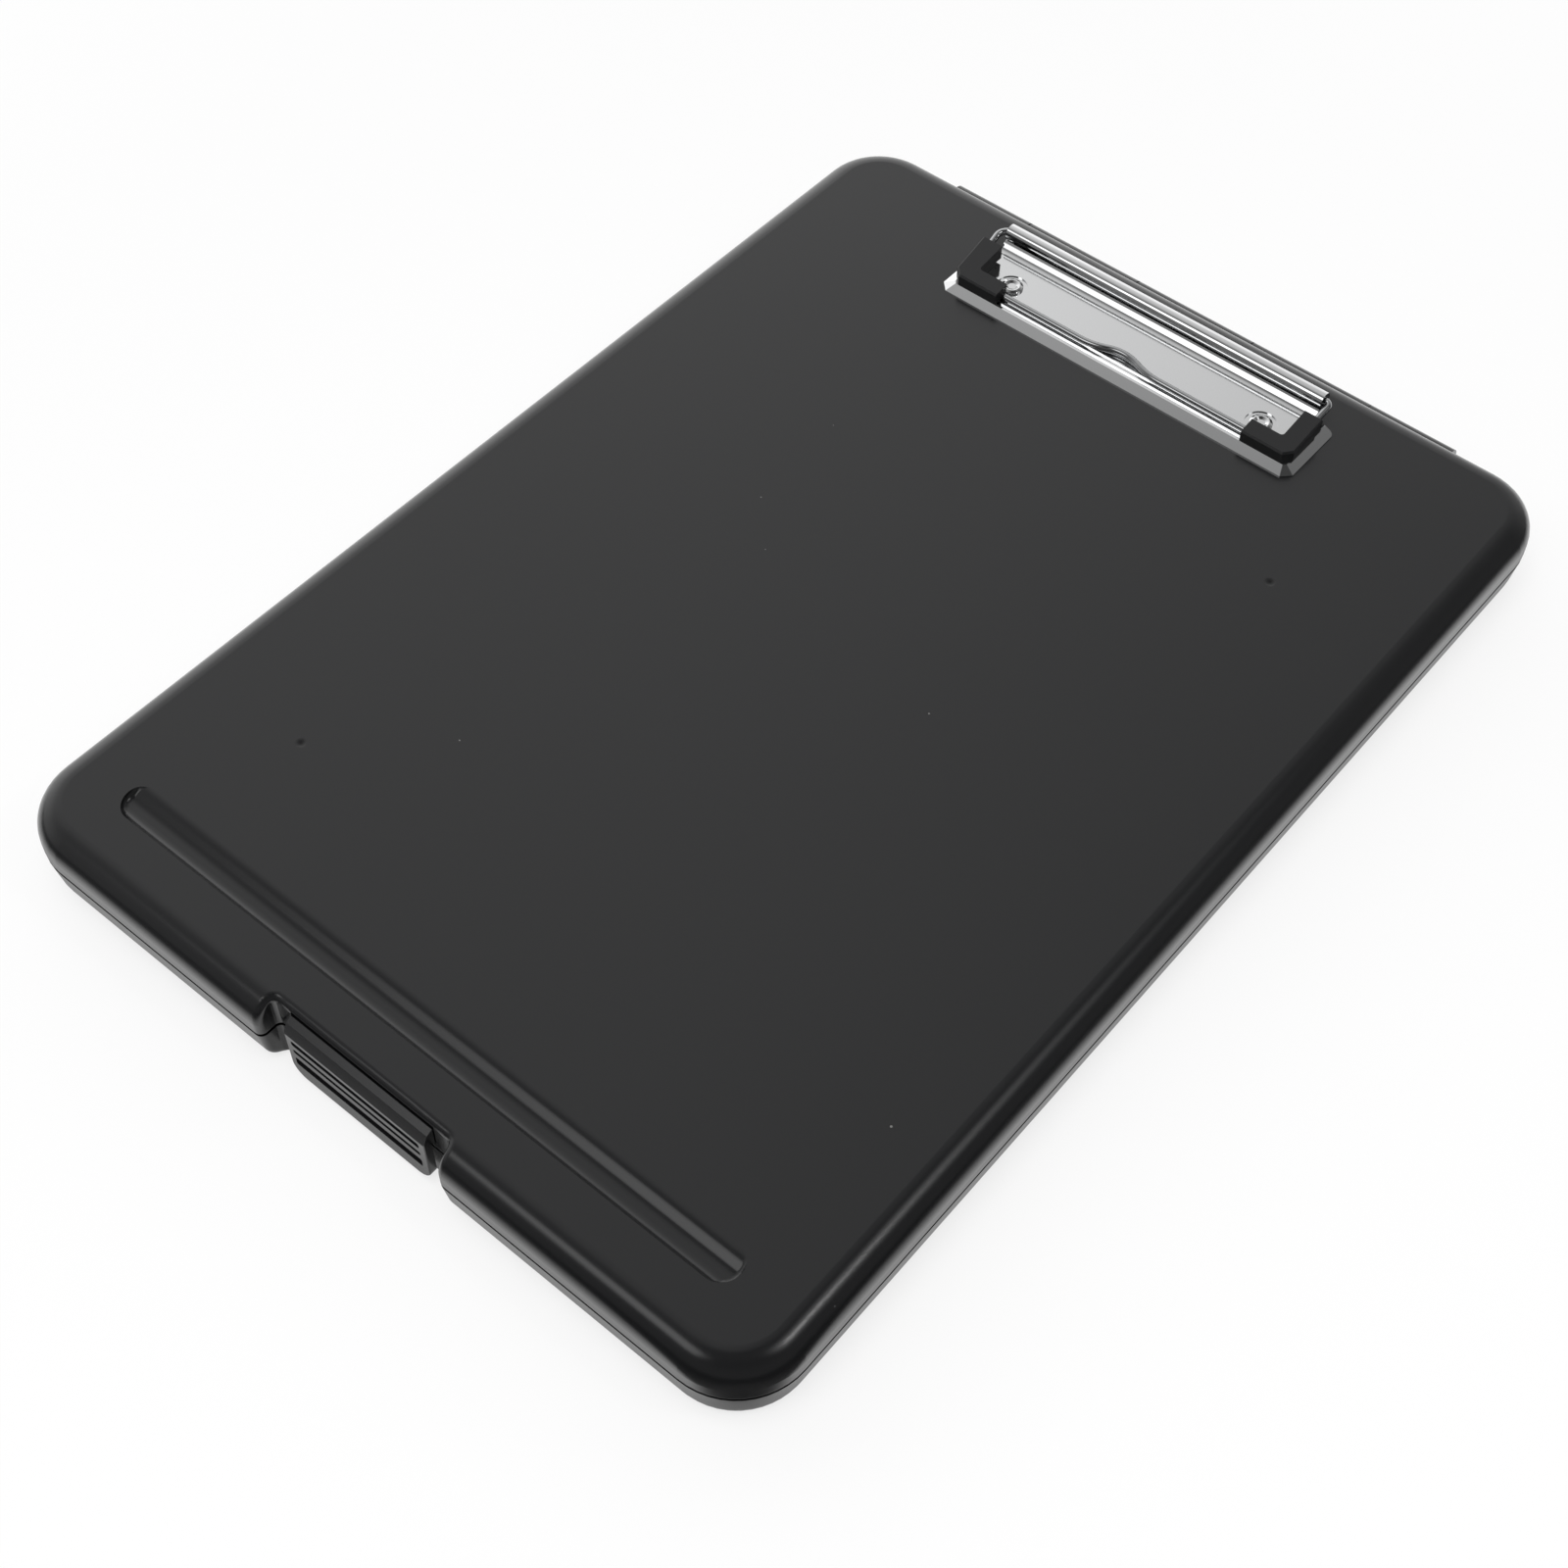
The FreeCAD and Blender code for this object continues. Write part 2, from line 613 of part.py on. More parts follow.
def makePin(label, radius, length, y, z):
    rod = doc.addObject("Part::Cylinder", label)
    rod.Label = label
    rod.setExpression("Radius", radius)
    rod.setExpression("Height", length)
    rod.Placement = FreeCAD.Placement(FreeCAD.Vector(), FreeCAD.Rotation(FreeCAD.Vector(0, 1, 0), 90))
    rod.setExpression("Placement.Base.x", f"-({length}) / 2")
    rod.setExpression("Placement.Base.y", f"{y} - {centreShift}")
    rod.setExpression("Placement.Base.z", z)
    return rod


# Latch

def makeLatch():
    body = newBody("latch_tab")
    radius = "Sizes.latchBarrelRadius"
    section = [
        (panelFront, "Sizes.latchBottom"),
        (panelFront, "Sizes.shoulderHeight"),
        (f"({front} + Sizes.facetSetback)", "Sizes.facetHeight"),
        (f"({front} + Sizes.latchTopSetback)", "Sizes.latchTop"),
        (f"({pivotY} + {radius} / 2)", f"(Sizes.pivotHeight + {radius} / 2)"),
        (f"({pivotY} + {radius} / 2)", f"(Sizes.pivotHeight - {radius} / 2)"),
        (panelBack, "Sizes.armHeight"),
        (panelBack, "Sizes.latchBottom"),
    ]
    panel = outline(body, "section", "YZ_Plane", "0", section)
    extrude(body, "Pad", "panel", panel, "Sizes.latchWidth", both=True)
    barrel = discs(body, "barrelEnd", "YZ_Plane", "0", (pivotY, "Sizes.pivotHeight", radius))
    extrude(body, "Pad", "barrel", barrel, "Sizes.latchWidth", both=True)
    dress(body, "Fillet", "lowerCorners", "Sizes.latchCornerRadius",
          lambda edge: flatAt(edge, "Sizes.latchBottom") and near(edge.Length, "Sizes.latchThickness"))
    dress(body, "Fillet", "faceEdge", "Sizes.latchEdgeRadius",
          lambda edge: near(edge.BoundBox.YMax, panelFront) and not flatAt(edge, "Sizes.shoulderHeight"))
    grooves = []
    x = "(Sizes.latchWidth / 2 - Sizes.ribGrooveMargin)"
    for name in ("upper", "middle", "lower"):
        top = f"Sizes.{name}GrooveTop"
        grooves.append(block(f"-{x}", x, f"({top} - Sizes.{name}GrooveHeight)", top, "Sizes.ribGrooveCorner"))
    face = outline(body, "grooveFace", "XZ_Plane", f"-{panelFront}", *grooves)
    extrude(body, "Pocket", "ribGrooves", face, "Sizes.ribGrooveDepth")
    tip = f"({panelBack} + Sizes.hookReach)"
    hookTop = "(Sizes.hookBottom + Sizes.hookHeight)"
    root = f"({panelBack} - Sizes.latchThickness / 2)"
    hook = [
        (root, "Sizes.hookBottom"),
        (panelBack, "Sizes.hookBottom"),
        (tip, "(Sizes.hookBottom + Sizes.hookRamp)"),
        (tip, hookTop),
        (root, hookTop),
    ]
    hookEnd = outline(body, "hookEnd", "YZ_Plane", "0", hook)
    extrude(body, "Pad", "hook", hookEnd, "Sizes.hookWidth", both=True)
    circle = (pivotY, "Sizes.pivotHeight", "(Sizes.latchPinRadius + Sizes.pinFit)")
    bore = discs(body, "pinBoreEnd", "YZ_Plane", "0", circle)
    extrude(body, "Pocket", "pinBore", bore, "(Sizes.latchWidth + Sizes.cutOverrun)", both=True)
    return body


# Clip plate

def makePlate():
    body = newBody("clip_plate", rollY, "Sizes.caseHeight")
    half = "Sizes.plateWidth / 2"
    cut = "Sizes.plateCornerCut"
    frontY = "-Sizes.plateFront"
    wing = "-Sizes.plateWingEnd"
    rampStart = f"(-2 * {rampReach} - {rampRise} / tan(Sizes.rampAngle) - Sizes.sheetThickness / 2)"
    plan = [
        (f"(-{half} + {cut})", frontY),
        (f"({half} - {cut})", frontY),
        (half, f"({frontY} + {cut})"),
        (half, wing),
        (rollRight, wing),
        (rollRight, rampStart),
        (rollLeft, rampStart),
        (rollLeft, wing),
        (f"-{half}", wing),
        (f"-{half}", f"({frontY} + {cut})"),
    ]
    extrude(body, "Pad", "plate", outline(body, "platePlan", "XY_Plane", "0", plan), "Sizes.plateHeight")
    bevel = dress(body, "Chamfer", "rimBevel", "Sizes.bevelDrop",
                  lambda edge: flatAt(edge, "Sizes.plateHeight") and onPlateRim(edge))
    bevel.ChamferType = "Two distances"
    bevel.setExpression("Size2", "Sizes.bevelWidth")
    doc.recompute()
    dress(body, "Fillet", "wingCorners", "Sizes.plateWingRadius",
          lambda edge: near(edge.BoundBox.YMin, wing) and near(abs(edge.CenterOfMass.x), half))
    channels(body)
    dimple = "Sizes.dimpleRadius"
    rivetY = "-Sizes.rivetFromRoll"
    hole = "(Sizes.rivetRadius + Sizes.pinFit)"
    steps = (("dimple", dimple, "Sizes.dimpleDepth"), ("rivetHole", hole, "Sizes.plateHeight"))
    for name, radius, depth in steps:
        circles = [(x, rivetY, radius) for x in (rivetX, f"-{rivetX}")]
        plan = discs(body, name + "Plan", "XY_Plane", "Sizes.plateHeight", *circles)
        extrude(body, "Pocket", name + "s", plan, depth)
    rollTube(body, rampStart)
    return body


def onPlateRim(edge):
    box = edge.BoundBox
    outside = read("Sizes.plateWidth / 2 - Sizes.plateCornerCut") - tolerance
    atSide = abs(box.XMin + box.XMax) / 2 > outside and not near(box.YMin, "-Sizes.plateWingEnd")
    return atSide or near(box.YMax, "-Sizes.plateFront")


def channels(body):
    # Two shallow channels stamped along the front, just behind the bevel.
    end = f"({gripInner} - Sizes.gripInnerRadius)"
    first = "(-Sizes.plateFront + Sizes.bevelWidth + Sizes.channelRib)"
    second = f"({first} + Sizes.channelWidth + Sizes.channelRib)"
    loops = [block(f"-{end}", end, low, f"({low} + Sizes.channelWidth)") for low in (first, second)]
    plan = outline(body, "channelPlan", "XY_Plane", "Sizes.plateHeight", *loops)
    extrude(body, "Pocket", "channels", plan, "Sizes.channelDepth")


def rollTube(body, rampStart):
    # The sheet ramps up behind the flat and curls into an open tube for the wire.
    inside = "(Sizes.rollRadius - Sizes.sheetThickness)"
    axis = ("0", "Sizes.rollHeight")
    ring = discs(body, "rollEnd", "YZ_Plane", rollLeft, (*axis, "Sizes.rollRadius"), (*axis, inside))
    extrude(body, "Pad", "roll", ring, rollLength)
    far = "(Sizes.rollRadius + Sizes.cutOverrun)"
    opening = [
        axis,
        (f"-{far}", f"(Sizes.rollHeight - {far} * tan(Sizes.rollGapSlope))"),
        (f"-{far}", f"(Sizes.rollHeight - {far})"),
        ("0", f"(Sizes.rollHeight - {far})"),
    ]
    gap = outline(body, "rollGapEnd", "YZ_Plane", rollLeft, opening)
    extrude(body, "Pocket", "rollGap", gap, rollLength, backwards=True)
    low = "(Sizes.plateHeight - Sizes.sheetThickness)"
    high = "Sizes.plateHeight"
    half = "Sizes.sheetThickness / 2"
    shift = f"{half} * tan(Sizes.rampAngle / 2)"
    first = f"({rampStart} + {rampReach})"
    second = f"(-{rampReach} - {half})"
    outerBend = f"(Sizes.rampRadius + {half})"
    innerBend = f"(Sizes.rampRadius - {half})"
    tail = f"({rampStart} - Sizes.sheetThickness)"
    ramp = [
        (tail, low),
        (f"({first} + {shift})", low, outerBend),
        (f"({second} + {shift})", f"({low} + {rampRise})", innerBend),
        ("0", f"({low} + {rampRise})"),
        ("0", f"({high} + {rampRise})"),
        (f"({second} - {shift})", f"({high} + {rampRise})", outerBend),
        (f"({first} - {shift})", high, innerBend),
        (tail, high),
    ]
    extrude(body, "Pad", "ramp", outline(body, "rampEnd", "YZ_Plane", rollLeft, ramp), rollLength)


def edgeNames(sketch):
    return ["Edge%d" % number for number in range(1, len(sketch.Shape.Edges) + 1)]


# Rivets and washers

def makeRivet(name, x):
    # Turned profile: pierced tail under the lid, shank, and a domed head with a ring and a pit.
    body = newBody(name, f"{rollY} - Sizes.rivetFromRoll", "Sizes.caseHeight")
    body.setExpression("Placement.Base.x", x)
    seat = "(Sizes.plateHeight - Sizes.dimpleDepth)"
    under = "(-Sizes.wallThickness - Sizes.washerThickness)"
    top = f"({seat} + Sizes.rivetHeadHeight)"
    ring = "(Sizes.rivetPitRadius + Sizes.rivetHeadRadius) / 2"
    section = [
        ("0", f"({under} - Sizes.rivetTailHeight)"),
        ("Sizes.rivetTailRadius", f"({under} - Sizes.rivetTailHeight)", "Sizes.rivetTailHeight / 2"),
        ("Sizes.rivetTailRadius", under),
        ("Sizes.rivetRadius", under),
        ("Sizes.rivetRadius", seat),
        ("Sizes.rivetHeadRadius", seat),
        ("Sizes.rivetHeadRadius", f"({top} - Sizes.rivetPitDepth)", "Sizes.rivetPitDepth / 2"),
        (ring, top, "Sizes.rivetPitDepth"),
        ("Sizes.rivetPitRadius", f"({top} - Sizes.rivetPitDepth)"),
        ("0", f"({top} - Sizes.rivetPitDepth)"),
    ]
    profile = outline(body, name + "Section", "XZ_Plane", "0", section)
    turned = body.newObject("PartDesign::Revolution", name + "Turned")
    turned.Profile = profile
    turned.ReferenceAxis = (profile, ["V_Axis"])
    turned.Angle = fullTurn
    doc.recompute()
    return body


def makeWasher(name, x):
    lift = "Sizes.caseHeight - Sizes.wallThickness - Sizes.washerThickness"
    body = newBody(name, f"{rollY} - Sizes.rivetFromRoll", lift)
    body.setExpression("Placement.Base.x", x)
    hole = "(Sizes.rivetRadius + Sizes.pinFit)"
    ring = discs(body, name + "Ring", "XY_Plane", "0", ("0", "0", "Sizes.washerRadius"), ("0", "0", hole))
    extrude(body, "Pad", name + "Pad", ring, "Sizes.washerThickness")
    return body


def makePair(label, maker):
    pair = doc.addObject("Part::Compound", label)
    pair.Label = label
    pair.Links = [maker(label + "Right", rivetX), maker(label + "Left", f"-{rivetX}")]
    doc.recompute()
    return pair


# Wire bail

def makeBail(label, radius):
    # The wire lies in one plane that tilts from the roll down to the plate.
    body = newBody(label, rollY, "(Sizes.caseHeight + Sizes.rollHeight)")
    body.Placement.Rotation = FreeCAD.Rotation(FreeCAD.Vector(1, 0, 0), read(bailTilt))
    body.setExpression("Placement.Rotation.Angle", bailTilt)
    reach = f"(-Sizes.wireReach / cos({bailTilt}))"
    start = f"({rollLeft} + Sizes.wireInRoll)"
    end = f"({rollRight} - Sizes.wireInRoll)"
    leftRear = "(Sizes.plateWidth / 2 - Sizes.leftLegInset)"
    rightRear = "(Sizes.plateWidth / 2 - Sizes.rightLegInset)"
    route = [
        (start, "0"),
        (f"-{leftRear}", "0", "Sizes.leftBend"),
        (f"-{legFront}", reach, "Sizes.frontBend"),
        ("(Sizes.waveOffset - Sizes.waveHalfWidth)", reach, "Sizes.waveFootRadius"),
        ("Sizes.waveOffset", f"({reach} + Sizes.waveHeight)", "Sizes.waveCrestRadius"),
        ("(Sizes.waveOffset + Sizes.waveHalfWidth)", reach, "Sizes.waveFootRadius"),
        (legFront, reach, "Sizes.frontBend"),
        (rightRear, "0", "Sizes.rightBend"),
        (end, "0"),
    ]
    path = newSketch(body, label + "Route", "XY_Plane", "0")
    drawOutline(path, route, closed=False)
    section = discs(body, label + "Section", "YZ_Plane", start, ("0", "0", radius))
    doc.recompute()
    pipe = body.newObject("PartDesign::AdditivePipe", label + "Sweep")
    pipe.Profile = section
    pipe.Spine = (path, edgeNames(path))
    doc.recompute()
    return body


# Corner grips

def makeGrip(label, side, splay):
    # A moulded corner round the wire: L-shaped in plan, sloping like the wire, with a raised heel.
    moulding = newBody(label + "_block", rollY, "Sizes.caseHeight")
    low = "(Sizes.plateHeight + Sizes.wireLift)"
    rise = f"tan({bailTilt})"
    outer = f"{side} * {gripOuter}"
    heel = f"{side} * ({gripOuter} + {splay})"
    inner = f"{side} * {gripInner}"
    tip = f"{side} * ({gripOuter} - Sizes.gripArm)"
    cut = "Sizes.gripCornerCut"
    frontY = "-Sizes.gripFront"
    plan = [
        (tip, frontY),
        (f"{side} * ({gripOuter} - {cut})", frontY),
        (outer, f"({frontY} + {cut})"),
        (heel, "-Sizes.gripRear"),
        (inner, "-Sizes.gripRear"),
        (inner, f"({frontY} + Sizes.gripFrontDepth)", "Sizes.gripInnerRadius"),
        (tip, f"({frontY} + Sizes.gripFrontDepth)"),
    ]
    full = f"(Sizes.gripHeight + Sizes.gripFront * {rise})"
    extrude(moulding, "Pad", label + "Pad", outline(moulding, label + "Plan", "XY_Plane", low, plan), full)
    ahead = f"({frontY} - Sizes.cutOverrun)"
    behind = "(-Sizes.gripRear + Sizes.cutOverrun)"
    top = f"({low} + Sizes.gripHeight)"
    above = [
        (ahead, f"({top} - Sizes.cutOverrun * {rise})"),
        (behind, f"({top} + (Sizes.gripFront - Sizes.gripRear + Sizes.cutOverrun) * {rise})"),
        (behind, f"({top} + {full})"),
        (ahead, f"({top} + {full})"),
    ]
    width = f"(2 * ({gripOuter} + {splay} + Sizes.cutOverrun))"
    slope = outline(moulding, label + "Slope", "YZ_Plane", "0", above)
    extrude(moulding, "Pocket", label + "Top", slope, width, both=True)
    heelTop = f"({low} + Sizes.gripFootRise)"
    under = block("-Sizes.gripFootEnd", behind, f"({low} - Sizes.cutOverrun)", heelTop)
    heelCut = outline(moulding, label + "Heel", "YZ_Plane", "0", under)
    extrude(moulding, "Pocket", label + "HeelRise", heelCut, width, both=True)
    dress(moulding, "Chamfer", label + "Bevel", "Sizes.gripTopBevel", lambda edge: gripTopEdge(edge, side))
    tunnel = makeBail(label + "_tunnel", "(Sizes.wireRadius + Sizes.gripFit)")
    grip = doc.addObject("Part::Cut", label)
    grip.Label = label
    grip.Base = moulding
    grip.Tool = tunnel
    doc.recompute()
    return grip


def gripTopEdge(edge, side):
    # Edges of the sloping top along the front and the outer side.
    box = edge.BoundBox
    middle = (box.YMin + box.YMax) / 2
    frontTop = read("Sizes.plateHeight + Sizes.wireLift + Sizes.gripHeight")
    slope = math.tan(math.radians(read(bailTilt)))
    topHere = frontTop + (middle + read("Sizes.gripFront")) * slope
    onTop = abs((box.ZMin + box.ZMax) / 2 - topHere) < tolerance
    outer = max(x * float(side) for x in (box.XMin, box.XMax)) > read(gripInner) + tolerance
    ahead = box.YMax < read("-Sizes.gripFront") + tolerance
    alongSide = outer and box.YMin < read("-Sizes.gripRear") - tolerance and box.YLength > tolerance
    return onTop and (ahead or alongSide)


# Assembly

nodes = {
    "base_tray": makeBase(),
    "lid_shell": makeLid(),
    "hinge_rod": makePin("hinge_rod", "Sizes.rodRadius", rodLength, hingeY, "Sizes.hingeHeight"),
    "latch_tab": makeLatch(),
    "latch_pin": makePin("latch_pin", "Sizes.latchPinRadius", pinLength, pivotY, "Sizes.pivotHeight"),
    "clip_plate": makePlate(),
    "clip_rivets": makePair("clip_rivets", makeRivet),
    "rivet_washers": makePair("rivet_washers", makeWasher),
    "clip_wire": makeBail("clip_wire", "Sizes.wireRadius"),
    "grip_left": makeGrip("grip_left", "-1", "Sizes.gripSplay"),
    "grip_right": makeGrip("grip_right", "1", "0"),
}
doc.recompute()

for item in doc.Objects:
    if "Invalid" in item.State or "Error" in item.State:
        raise ValueError(item.Name + " failed: " + ", ".join(item.State))
for name, node in nodes.items():
    if node.Shape.isNull() or not node.Shape.isValid():
        raise ValueError(name + " has no valid shape")
    print(name, len(node.Shape.Solids), "solids", round(node.Shape.Volume, 1), "mm3")
for name, node in nodes.items():
    node.Shape.exportStep("parts/" + name + ".step")
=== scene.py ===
import bpy
import math
from mathutils import Matrix, Vector


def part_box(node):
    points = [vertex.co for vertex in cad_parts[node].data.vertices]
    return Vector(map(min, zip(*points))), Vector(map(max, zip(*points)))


# Storage clipboard: black moulded case, ribbed latch and a chrome wire clip, on a pale table

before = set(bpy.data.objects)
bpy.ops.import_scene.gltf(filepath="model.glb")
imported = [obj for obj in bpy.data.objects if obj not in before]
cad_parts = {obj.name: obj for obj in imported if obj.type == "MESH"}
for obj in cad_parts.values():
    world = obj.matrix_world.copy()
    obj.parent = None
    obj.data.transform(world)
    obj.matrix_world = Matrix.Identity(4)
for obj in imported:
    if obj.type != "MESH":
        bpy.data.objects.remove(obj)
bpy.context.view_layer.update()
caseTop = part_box("lid_shell")[1].z
print("frame loaded")


# Node helpers

def addNode(tree, kind, **settings):
    node = tree.nodes.new(kind)
    for name, value in settings.items():
        setattr(node, name, value)
    return node


def link(tree, source, target):
    tree.links.new(source, target)


def mathNode(tree, operation, *values):
    node = addNode(tree, "ShaderNodeMath", operation=operation)
    for socket, value in zip(node.inputs, values):
        if isinstance(value, (int, float)):
            socket.default_value = value
        else:
            link(tree, value, socket)
    return node.outputs[0]


def vectorMath(tree, operation, first, second):
    node = addNode(tree, "ShaderNodeVectorMath", operation=operation)
    link(tree, first, node.inputs[0])
    node.inputs[1].default_value = second
    return node


def splitVector(tree, vector):
    node = addNode(tree, "ShaderNodeSeparateXYZ")
    link(tree, vector, node.inputs["Vector"])
    return node.outputs


def rangeNode(tree, value, reach, levels, kind):
    fade = addNode(tree, "ShaderNodeMapRange", interpolation_type=kind)
    settings = {"From Min": reach[0], "From Max": reach[1], "To Min": levels[0], "To Max": levels[1]}
    for name, number in settings.items():
        fade.inputs[name].default_value = number
    link(tree, value, fade.inputs["Value"])
    return fade.outputs["Result"]


def smoothRange(tree, value, reach, levels):
    return rangeNode(tree, value, reach, levels, "SMOOTHSTEP")


def newGroup(name, inputs, outputs):
    tree = bpy.data.node_groups.new(name, "ShaderNodeTree")
    for label, kind, value in inputs:
        socket = tree.interface.new_socket(name=label, in_out="INPUT", socket_type=kind)
        if value is not None:
            socket.default_value = value
    for label, kind in outputs:
        tree.interface.new_socket(name=label, in_out="OUTPUT", socket_type=kind)
    return tree, addNode(tree, "NodeGroupInput"), addNode(tree, "NodeGroupOutput")


def useGroup(tree, group, vector):
    node = addNode(tree, "ShaderNodeGroup", node_tree=group)
    link(tree, vector, node.inputs["Vector"])
    return node


# Moulded grain: a fine even texture with a slow wave under it

grainTexture = {
    "grainPerMetre": 5200.0,
    "grainDetail": 3.0,
    "grainRoughness": 0.6,
    "wavesPerMetre": 18.0,
    "waveDetail": 2.0,
    "waveShare": 0.3,
}


def makeGrainGroup():
    tree, entry, result = newGroup(
        "mouldedGrain",
        [
            ("Vector", "NodeSocketVector", None),
            ("Grain per metre", "NodeSocketFloat", grainTexture["grainPerMetre"]),
            ("Waves per metre", "NodeSocketFloat", grainTexture["wavesPerMetre"]),
            ("Wave share", "NodeSocketFloat", grainTexture["waveShare"]),
        ],
        [("Height", "NodeSocketFloat"), ("Waves", "NodeSocketFloat")],
    )
    grain = addNode(tree, "ShaderNodeTexNoise")
    grain.inputs["Detail"].default_value = grainTexture["grainDetail"]
    grain.inputs["Roughness"].default_value = grainTexture["grainRoughness"]
    waves = addNode(tree, "ShaderNodeTexNoise")
    waves.inputs["Detail"].default_value = grainTexture["waveDetail"]
    link(tree, entry.outputs["Vector"], grain.inputs["Vector"])
    link(tree, entry.outputs["Vector"], waves.inputs["Vector"])
    link(tree, entry.outputs["Grain per metre"], grain.inputs["Scale"])
    link(tree, entry.outputs["Waves per metre"], waves.inputs["Scale"])
    slow = mathNode(tree, "MULTIPLY", waves.outputs["Fac"], entry.outputs["Wave share"])
    link(tree, mathNode(tree, "ADD", grain.outputs["Fac"], slow), result.inputs["Height"])
    link(tree, waves.outputs["Fac"], result.inputs["Waves"])
    return tree


# Dust: a few pale specks of uneven size

dustTexture = {
    "cellsPerMetre": 60.0,
    "keptShare": 0.3,
    "speckSize": 0.02,
}


def makeDustGroup():
    tree, entry, result = newGroup(
        "dustSpecks",
        [
            ("Vector", "NodeSocketVector", None),
            ("Cells per metre", "NodeSocketFloat", dustTexture["cellsPerMetre"]),
            ("Kept share", "NodeSocketFloat", dustTexture["keptShare"]),
            ("Speck size", "NodeSocketFloat", dustTexture["speckSize"]),
        ],
        [("Mask", "NodeSocketFloat")],
    )
    cells = addNode(tree, "ShaderNodeTexVoronoi", feature="F1")
    link(tree, entry.outputs["Vector"], cells.inputs["Vector"])
    link(tree, entry.outputs["Cells per metre"], cells.inputs["Scale"])
    parts = addNode(tree, "ShaderNodeSeparateColor")
    link(tree, cells.outputs["Color"], parts.inputs["Color"])
    kept = mathNode(tree, "LESS_THAN", parts.outputs["Red"], entry.outputs["Kept share"])
    size = mathNode(tree, "MULTIPLY", parts.outputs["Green"], entry.outputs["Speck size"])
    inside = mathNode(tree, "LESS_THAN", cells.outputs["Distance"], size)
    link(tree, mathNode(tree, "MULTIPLY", kept, inside), result.inputs["Mask"])
    return tree


grainGroup = makeGrainGroup()
dustGroup = makeDustGroup()
print("node groups made")


# Black moulded plastic of the case, the latch and the grips

casePlastic = {
    "colour": (0.009, 0.0092, 0.0098),
    "roughness": 0.21,
    "roughnessChange": 0.08,
    "refraction": 1.52,
    "grainHeight": 0.000006,
    "dustColour": (0.16, 0.16, 0.155),
    "gateMarks": ((-0.0781, -0.1112), (0.0767, 0.0906)),
    "gateMarkRadius": 0.0017,
    "gateMarkDepth": 0.0003,
    "gateMarkCore": 0.45,
    # near-black painted into pits and gaps as shade
    "paintedShadeColour": (0.001, 0.001, 0.001),
    # where the seam's painted shade lies
    "seamHeight": 0.0133,
    "seamReach": (0.0003, 0.0006),
    "seamWallLimit": 0.95,
}
gripPlastic = {
    "colour": (0.008, 0.0082, 0.0088),
    "roughness": 0.42,
    "roughnessChange": 0.12,
    "refraction": 1.48,
    "grainHeight": 0.00001,
    "dustColour": (0.12, 0.12, 0.12),
}


def startMaterial(name):
    material = bpy.data.materials.new(name)
    material.use_nodes = True
    tree = material.node_tree
    shader = tree.nodes["Principled BSDF"]
    place = addNode(tree, "ShaderNodeTexCoord").outputs["Object"]
    return material, tree, shader, place


def addFinish(tree, shader, grain, look):
    # Gloss that changes slowly over the surface, and the grain's bump
    low = look["roughness"] - look["roughnessChange"] / 2
    levels = (low, low + look["roughnessChange"])
    gloss = rangeNode(tree, grain.outputs["Waves"], (0.0, 1.0), levels, "LINEAR")
    link(tree, gloss, shader.inputs["Roughness"])
    bump = addNode(tree, "ShaderNodeBump")
    bump.inputs["Distance"].default_value = look["grainHeight"]
    link(tree, grain.outputs["Height"], bump.inputs["Height"])
    return bump


def blackPlastic(name, look, marks=(), seamShade=False):
    material, tree, shader, place = startMaterial(name)
    shader.inputs["IOR"].default_value = look["refraction"]
    grain = useGroup(tree, grainGroup, place)
    dust = useGroup(tree, dustGroup, place)
    colour = addNode(tree, "ShaderNodeMix", data_type="RGBA")
    colour.inputs["A"].default_value = (*look["colour"], 1)
    colour.inputs["B"].default_value = (*look["dustColour"], 1)
    link(tree, dust.outputs["Mask"], colour.inputs["Factor"])
    link(tree, colour.outputs["Result"], shader.inputs["Base Color"])
    bump = addFinish(tree, shader, grain, look)
    for x, y in marks:
        bump = addGateMark(tree, shader, place, bump, look, (x, y, caseTop))
    # painted shade along the seam between lid and tray
    if seamShade:
        addSeamShade(tree, shader, place, look)
    link(tree, bump.outputs["Normal"], shader.inputs["Normal"])
    return material


def addPaintedShade(tree, shader, look, fade):
    # Painted shade: a pit or a gap is painted dull black as if no light came back out of it; fade is
    # 0 inside it and 1 on the plain surface
    insides = {"Base Color": (*look["paintedShadeColour"], 1), "Roughness": 1.0, "Metallic": 1.0}
    for name, inside in insides.items():
        mix = addNode(tree, "ShaderNodeMix", data_type="RGBA" if name == "Base Color" else "FLOAT")
        mix.inputs["A"].default_value = inside
        mix.inputs["B"].default_value = shader.inputs[name].default_value
        link(tree, fade, mix.inputs["Factor"])
        if shader.inputs[name].is_linked:
            link(tree, shader.inputs[name].links[0].from_socket, mix.inputs["B"])
        link(tree, mix.outputs["Result"], shader.inputs[name])


def addSeamShade(tree, shader, place, look):
    # Painted shade: the dark line in the gap where lid and tray meet, but not on the level rims
    offset = mathNode(tree, "SUBTRACT", splitVector(tree, place)["Z"], look["seamHeight"])
    fade = smoothRange(tree, mathNode(tree, "ABSOLUTE", offset), look["seamReach"], (0.0, 1.0))
    upward = splitVector(tree, addNode(tree, "ShaderNodeTexCoord").outputs["Normal"])["Z"]
    level = mathNode(tree, "GREATER_THAN", mathNode(tree, "ABSOLUTE", upward), look["seamWallLimit"])
    addPaintedShade(tree, shader, look, mathNode(tree, "MAXIMUM", fade, level))


